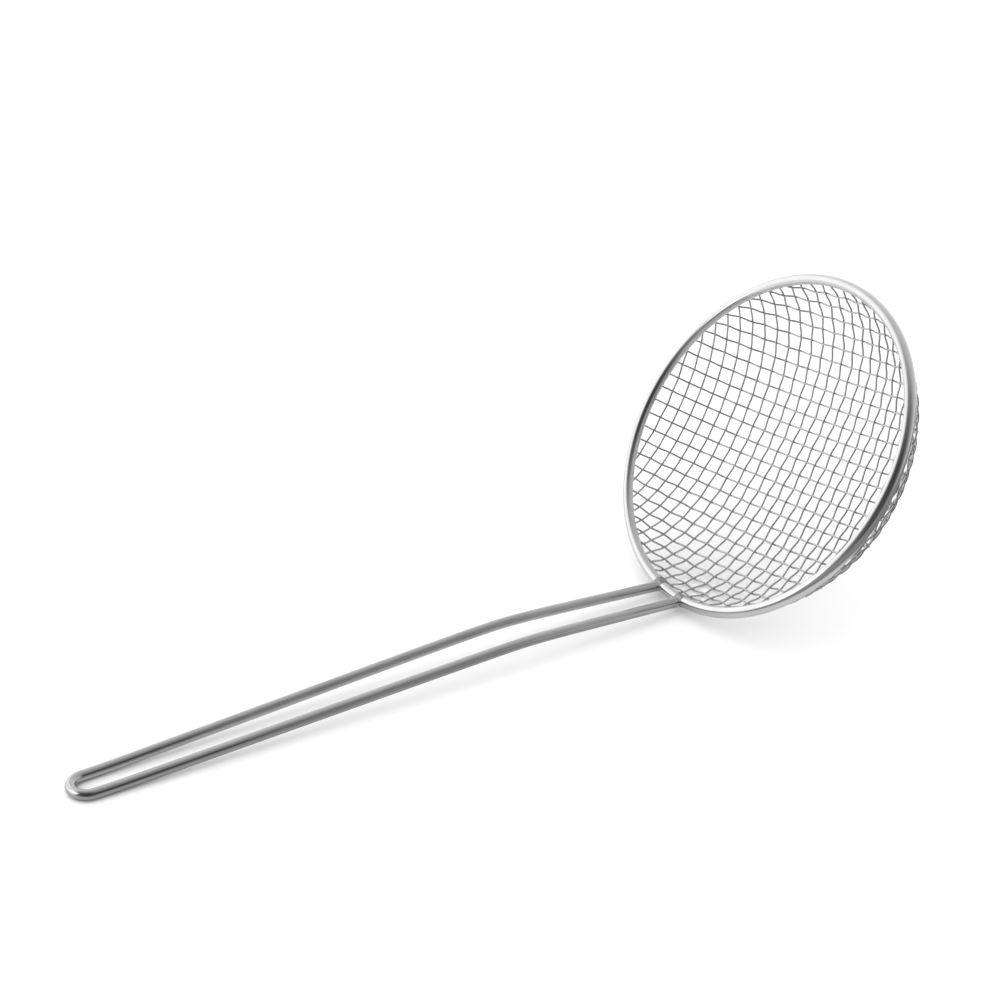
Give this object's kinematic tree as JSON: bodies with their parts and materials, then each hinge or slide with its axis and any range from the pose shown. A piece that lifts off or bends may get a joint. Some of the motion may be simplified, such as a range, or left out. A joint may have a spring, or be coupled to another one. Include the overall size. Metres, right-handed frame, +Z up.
{
  "type": "wire-mesh strainer",
  "caption": "Long-handled strainer: a shallow bowl of crimped woven steel wires held in a rolled steel rim, on a handle bent from one wire that ends in a hanging loop.",
  "frame": {"origin": "on the floor below the middle of the whole object, which rests on its handle loop and on the outside of its bowl", "axes": "+X from the handle loop to the bowl, +Y to the left of someone who looks along +X, +Z up; the handle, rim and bowl are symmetric about Y = 0"},
  "size_m": [0.401, 0.165, 0.1351],
  "materials": {
    "handle_steel": "drawn and polished stainless steel wire, satin to bright",
    "rim_steel": "polished stainless steel sheet rolled to a bead",
    "mesh_steel": "crimped and woven stainless steel wire, satin"
  },
  "bodies": {
    "root": {"handle_wire": "handle_steel", "rolled_rim": "rim_steel", "warp_wire_01": "mesh_steel", "warp_wire_02": "mesh_steel", "warp_wire_03": "mesh_steel", "warp_wire_04": "mesh_steel", "warp_wire_05": "mesh_steel", "warp_wire_06": "mesh_steel", "warp_wire_07": "mesh_steel", "warp_wire_08": "mesh_steel", "warp_wire_09": "mesh_steel", "warp_wire_10": "mesh_steel", "warp_wire_11": "mesh_steel", "warp_wire_12": "mesh_steel", "warp_wire_13": "mesh_steel", "warp_wire_14": "mesh_steel", "warp_wire_15": "mesh_steel", "warp_wire_16": "mesh_steel", "warp_wire_17": "mesh_steel", "warp_wire_18": "mesh_steel", "warp_wire_19": "mesh_steel", "warp_wire_20": "mesh_steel", "warp_wire_21": "mesh_steel", "warp_wire_22": "mesh_steel", "warp_wire_23": "mesh_steel", "warp_wire_24": "mesh_steel", "warp_wire_25": "mesh_steel", "warp_wire_26": "mesh_steel", "warp_wire_27": "mesh_steel", "warp_wire_28": "mesh_steel", "warp_wire_29": "mesh_steel", "warp_wire_30": "mesh_steel", "weft_wire_01": "mesh_steel", "weft_wire_02": "mesh_steel", "weft_wire_03": "mesh_steel", "weft_wire_04": "mesh_steel", "weft_wire_05": "mesh_steel", "weft_wire_06": "mesh_steel", "weft_wire_07": "mesh_steel", "weft_wire_08": "mesh_steel", "weft_wire_09": "mesh_steel", "weft_wire_10": "mesh_steel", "weft_wire_11": "mesh_steel", "weft_wire_12": "mesh_steel", "weft_wire_13": "mesh_steel", "weft_wire_14": "mesh_steel", "weft_wire_15": "mesh_steel", "weft_wire_16": "mesh_steel", "weft_wire_17": "mesh_steel", "weft_wire_18": "mesh_steel", "weft_wire_19": "mesh_steel", "weft_wire_20": "mesh_steel", "weft_wire_21": "mesh_steel", "weft_wire_22": "mesh_steel", "weft_wire_23": "mesh_steel", "weft_wire_24": "mesh_steel", "weft_wire_25": "mesh_steel", "weft_wire_26": "mesh_steel"}
  },
  "joints": []
}
